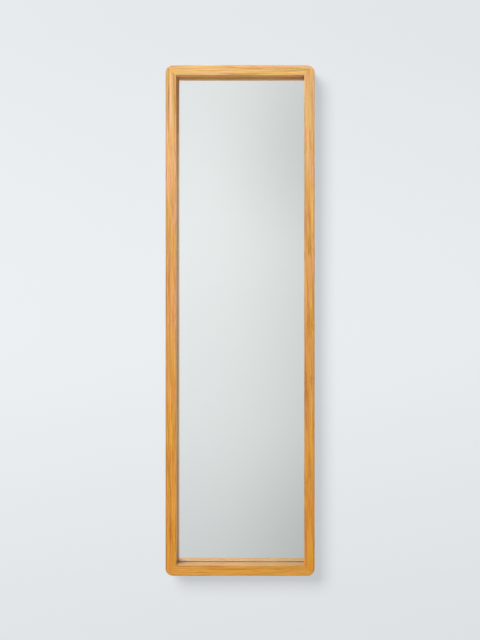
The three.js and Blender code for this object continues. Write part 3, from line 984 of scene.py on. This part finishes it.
def make_bumpers(material):
    """Moulded pads: a low foot on the frame and a domed shoulder up to a flat face on the wall."""
    for node in frame["record"]["behaviour"]["bodies"]["root"]:
        if not node.startswith("wall_bumper_"):
            continue
        low, high = corners_of(node)
        radius = (high.x - low.x) / 2
        height = high.y - low.y
        bevel = BUMPER_BEVEL
        waist = radius - BUMPER_STEP
        shoulder = height - BUMPER_SHOULDER
        profile = [(0.0, 0.0), (radius - bevel, 0.0), (radius, bevel), (radius, BUMPER_FOOT)]
        profile += [(radius - 2 * bevel, BUMPER_FOOT + 1.5 * bevel), (waist, shoulder)]
        profile += arc((waist - BUMPER_SHOULDER, shoulder), BUMPER_SHOULDER, 0, math.pi / 2, 8)[1:]
        profile += [(radius * 0.35, height), (0.0, height)]

        def fill(build, profile=profile):
            lathe(build, profile, BUMPER_SIDES)

        piece = new_piece(f"{node}_part", fill, [material], 50)
        centre = (low + high) / 2
        piece.data.transform(Matrix.Translation((centre.x, low.y, centre.z)))
        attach(piece, "root")
        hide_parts(node)


# ---------------- pieces that keep their CAD solid


def dress(node, material):
    mesh = frame["nodes"][node].data
    mesh.materials.clear()
    mesh.materials.append(material)


# ---------------- stage, light and camera

VIEW_DISTANCE = 2.5  # from the camera to the front of the frame
VIEW_RIGHT = 0.179  # of the mirror's middle
VIEW_UP = 0.121
VIEW_MARGIN = 0.344  # what the picture takes in above and below the frame, at the front of it
VIEW_HEIGHT = FRAME_HEIGHT + VIEW_MARGIN
PICTURE_RISE = 1.2 * MM  # of the picture's middle over the mirror's middle
SENSOR = 36.0


def make_camera():
    data = bpy.data.cameras.new("camera")
    data.sensor_width = SENSOR
    data.lens = SENSOR * VIEW_DISTANCE / VIEW_HEIGHT
    data.shift_x = -VIEW_RIGHT / VIEW_HEIGHT
    data.shift_y = (PICTURE_RISE - VIEW_UP) / VIEW_HEIGHT
    camera = new_object("camera", data)
    camera.location = MIDDLE + Vector((VIEW_RIGHT, -VIEW_DISTANCE, VIEW_UP))
    camera.rotation_euler = (math.radians(90), 0, 0)
    bpy.context.scene.camera = camera


KEY_WAY = (-7.5, -10.0, 10.2)  # from the mirror to the middle of the key light
KEY_SIZE = (10.0, 11.0)
WALL_PAINT = srgb(233, 237, 240)
KEY_SHARE = 0.28  # of the wall's light; the rest is even
ROOM_PAINT = srgb(228, 232, 235)
FLOOR_GLOW = 0.82
FLOOR_DULLING = 0.06
FLOOR_DROP = 0.35  # from the bottom of the frame down to the floor
FLOOR_FORWARD = 0.6  # from the wall to the floor's middle
FLOOR_SIZE = 5.0
WALL_SIZE = 4.0
WALL_DULLING = 0.03  # keeps the frame's own glow off the wall
WALL_KEY_POWER = 61500  # makes up for the dulling


def glowing_paint(g, paint, glow, dulling):
    """Paint with an even light of its own. Lamps and shadows show on it as much as dulling says."""
    even = g.add("ShaderNodeEmission", {"Color": paint, "Strength": glow})
    matt = g.add("ShaderNodeBsdfDiffuse", {"Color": g.times(paint, grey(dulling))})
    return g.add("ShaderNodeAddShader", {0: even.outputs[0], 1: matt.outputs[0]}).outputs[0]


def faded(g, shader, place, fade_from, fade_to, one_sided):
    """Ends a stage material: it fades out away from the middle, and behind too if one-sided."""
    gone = g.spread(g.vector("LENGTH", place), fade_from, fade_to, smooth=True)
    if one_sided:
        behind = g.add("ShaderNodeNewGeometry").outputs["Backfacing"]
        gone = g.math("MAXIMUM", gone, behind)
    clear = g.add("ShaderNodeBsdfTransparent")
    mixed = g.add("ShaderNodeMixShader", {0: gone, 1: shader, 2: clear.outputs[0]})
    g.add("ShaderNodeOutputMaterial", {"Surface": mixed.outputs[0]})


def wall_material():
    """Pale wall: even light, dimmer at its foot and its top, and the key light added to it."""
    material, g, place = new_material("wall_paint")
    parts = g.add("ShaderNodeSeparateXYZ", {"Vector": place})
    height = g.spread(parts.outputs["Y"], -0.9, 0.9)
    stops = ((0.0, 0.91), (0.12, 0.918), (0.35, 0.968), (0.52, 0.987), (0.82, 0.913), (1.0, 0.878))
    even = g.ramp(height, [(at, grey(level)) for at, level in stops], "B_SPLINE")
    glowing = glowing_paint(g, g.times(WALL_PAINT, even), 1 - KEY_SHARE, WALL_DULLING)
    faded(g, glowing, place, 1.3, 1.9, True)
    return material


def floor_material():
    """Pale floor with an even glow of its own, so that only a faint shadow shows on it."""
    material, g, place = new_material("floor_paint")
    mottle = g.noise(place, 3.0, 2.0, 0.5)
    shade = g.ramp(mottle, [(0.3, grey(0.985)), (0.7, grey(1.0))])
    glowing = glowing_paint(g, g.times(ROOM_PAINT, shade), FLOOR_GLOW, FLOOR_DULLING)
    faded(g, glowing, place, 1.3, 2.4, False)
    return material


def make_sheet(name, location, rotation, size, material):
    """A flat stage sheet, facing its own +Z, which only the camera's rays meet."""
    mesh = bpy.data.meshes.new(name)
    half = size / 2
    corners = [(-half, -half, 0), (half, -half, 0), (half, half, 0), (-half, half, 0)]
    mesh.from_pydata(corners, [], [(0, 1, 2, 3)])
    mesh.materials.append(material)
    sheet = new_object(name, mesh)
    sheet.location = location
    sheet.rotation_euler = rotation
    sheet.visible_glossy = False
    sheet.visible_transmission = False
    sheet.visible_shadow = False
    sheet.visible_diffuse = False
    return sheet


CEILING_GLOW = 2.6  # how much brighter the studio is high up, over what the camera sees reflected
# Dim patches of the studio as (x, z, reach, level), in the mirror's view of it straight ahead.
DIM_PATCHES = (
    (0.01, 0.13, 0.13, 0.90),
    (0.03, -0.31, 0.16, 0.90),
    (0.34, 0.30, 0.36, 0.45),
)


def make_world():
    """What the mirror shows: a soft studio, brighter to the camera's upper left and dimmer below
    right. It lights nothing by itself, except through the mirror. Behind the object it is plain."""
    world = bpy.data.worlds.new("studio")
    world.use_nodes = True
    world.cycles_visibility.diffuse = False
    bpy.context.scene.world = world
    g = Graph(world.node_tree)
    way = g.add("ShaderNodeTexCoord").outputs["Generated"]
    parts = g.add("ShaderNodeSeparateXYZ", {"Vector": way})
    side = g.spread(parts.outputs["X"], -0.16, 0.02)
    across_stops = [
        (0.0, (0.975, 0.995, 1.01)),
        (0.3, (0.96, 0.98, 0.985)),
        (0.5, (0.93, 0.95, 0.95)),
        (0.7, (0.87, 0.89, 0.885)),
        (0.9, (0.79, 0.81, 0.80)),
        (1.0, (0.765, 0.785, 0.78)),
    ]
    across = g.ramp(side, across_stops, "B_SPLINE")
    level = g.spread(parts.outputs["Z"], -0.6, 0.6)
    levels = [(0.0, 0.50), (0.12, 0.53), (0.20, 0.62), (0.27, 0.68), (0.36, 0.83)]
    levels += [(0.48, 0.89), (0.56, 0.93), (0.68, 0.83), (1.0, 0.90)]
    down = g.ramp(level, [(at, grey(share)) for at, share in levels], "B_SPLINE")
    panel = g.spread(parts.outputs["Z"], 0.25, 0.42, 1.0, CEILING_GLOW, smooth=True)
    colour = g.times(g.times(across, down), panel)
    for x, z, reach, level in DIM_PATCHES:
        away = g.vector("LENGTH", g.vector("SUBTRACT", way, (x, -1.0, z)))
        colour = g.times(colour, g.spread(away, 0.0, reach, level, 1.0, smooth=True))
    seen = g.add("ShaderNodeLightPath").outputs["Is Camera Ray"]
    colour = g.mix(seen, colour, ROOM_PAINT)
    sky = g.add("ShaderNodeBackground", {"Color": colour, "Strength": 1.0})
    g.add("ShaderNodeOutputWorld", {"Surface": sky.outputs[0]})


def make_light(name, way, size, power, sheet, state="EXCLUDE", square_on=False):
    """A soft box at way from the mirror's middle, facing it, or facing the wall square on. It
    leaves out the given stage sheet, or with state "INCLUDE" lights nothing else."""
    data = bpy.data.lights.new(name, "AREA")
    data.shape = "RECTANGLE"
    data.size, data.size_y = size
    data.energy = power
    lamp = new_object(name, data)
    lamp.location = MIDDLE + Vector(way)
    aim = Vector((0, 1, 0)) if square_on else -Vector(way)
    lamp.rotation_euler = aim.to_track_quat("-Z", "Z").to_euler()
    lamp.visible_glossy = False
    lamp.visible_transmission = False
    lamp.visible_camera = False
    receivers = bpy.data.collections.new(f"{name}_receivers")
    receivers.objects.link(sheet)
    lamp.light_linking.receiver_collection = receivers
    receivers.collection_objects[0].light_linking.link_state = state


# Lights on the object alone: way from the mirror's middle, size and power.
PRODUCT_LIGHTS = (
    ("key", KEY_WAY, KEY_SIZE, 2000),
    ("grazing", (7.0, -0.56, 7.0), (0.7, 1.5), 680),
    ("above", (-2.6, -3.1, 4.9), (3.4, 2.6), 350),
    ("right", (5.2, -3.1, -1.0), (2.6, 4.2), 195),
    ("below", (0.3, -3.1, -5.4), (3.8, 2.6), 335),
    ("behind", (-2.2, 3.2, 1.8), (2.2, 2.2), 150),
    ("behind_fill", (2.4, 3.0, 0.4), (2.2, 2.2), 60),
)


def make_stage():
    wall_middle = (MIDDLE.x, 0.5 * MM, MIDDLE.z)
    upright = (math.radians(90), 0, 0)
    wall = make_sheet("stage_wall", wall_middle, upright, WALL_SIZE, wall_material())
    floor_middle = (MIDDLE.x, -FLOOR_FORWARD, FRAME_BOTTOM - FLOOR_DROP)
    make_sheet("stage_floor", floor_middle, (0, 0, 0), FLOOR_SIZE, floor_material())
    make_light("wall_key", KEY_WAY, KEY_SIZE, WALL_KEY_POWER, wall, "INCLUDE", square_on=True)
    for name, way, size, power in PRODUCT_LIGHTS:
        make_light(name, way, size, power, wall)


# ---------------- putting it together

make_camera()
make_world()
make_stage()
make_frame()
make_mirror(glass_material(), silver_material())

zinc = metal_material("zinc_plate", srgb(205, 208, 212), srgb(176, 178, 180), 0.32, 1800.0)
brass = metal_material("brassed_plate", srgb(224, 190, 118), srgb(196, 158, 92), 0.28, 1800.0)
soft_rubber = rubber_material("soft_rubber", srgb(206, 206, 198), 0.4, 0.35)
black_rubber = rubber_material("black_rubber", srgb(42, 42, 44), 0.8)
beech = plain_wood("beech", srgb(222, 190, 150), srgb(190, 152, 108), 1300.0, 0.06, 0.6)
fibreboard = plain_wood("fibreboard", srgb(158, 122, 84), srgb(112, 82, 54), 1500.0, 0.5, 0.8)
grey_board = plain_wood("grey_board", srgb(176, 166, 148), srgb(140, 131, 114), 900.0, 0.6, 0.9)

root_nodes = frame["record"]["behaviour"]["bodies"]["root"]
turn_screws = [n for n in root_nodes if n.startswith("turn_screw_")]
hanger_screws = [n for n in root_nodes if n.startswith("hanger_screw_")]
for template, nodes in (("turn_screw", turn_screws), ("hanger_screw", hanger_screws)):
    mesh, head = screw_template(template, nodes[0], zinc)
    place_screws(mesh, head, nodes)
    bpy.data.meshes.remove(mesh)
make_buttons(zinc)
for hanger_side in ("left", "right"):
    make_strap(hanger_side, brass)
    make_ring(hanger_side, brass)
make_bumpers(soft_rubber)

for key_node in [n for n in root_nodes if n.startswith("key_")]:
    dress(key_node, beech)
for block_node in [n for n in root_nodes if n.startswith("setting_block_")]:
    dress(block_node, black_rubber)
dress("cushion_sheet", grey_board)
dress("back_board", fibreboard)

scene = bpy.context.scene
scene.view_settings.view_transform = "Standard"
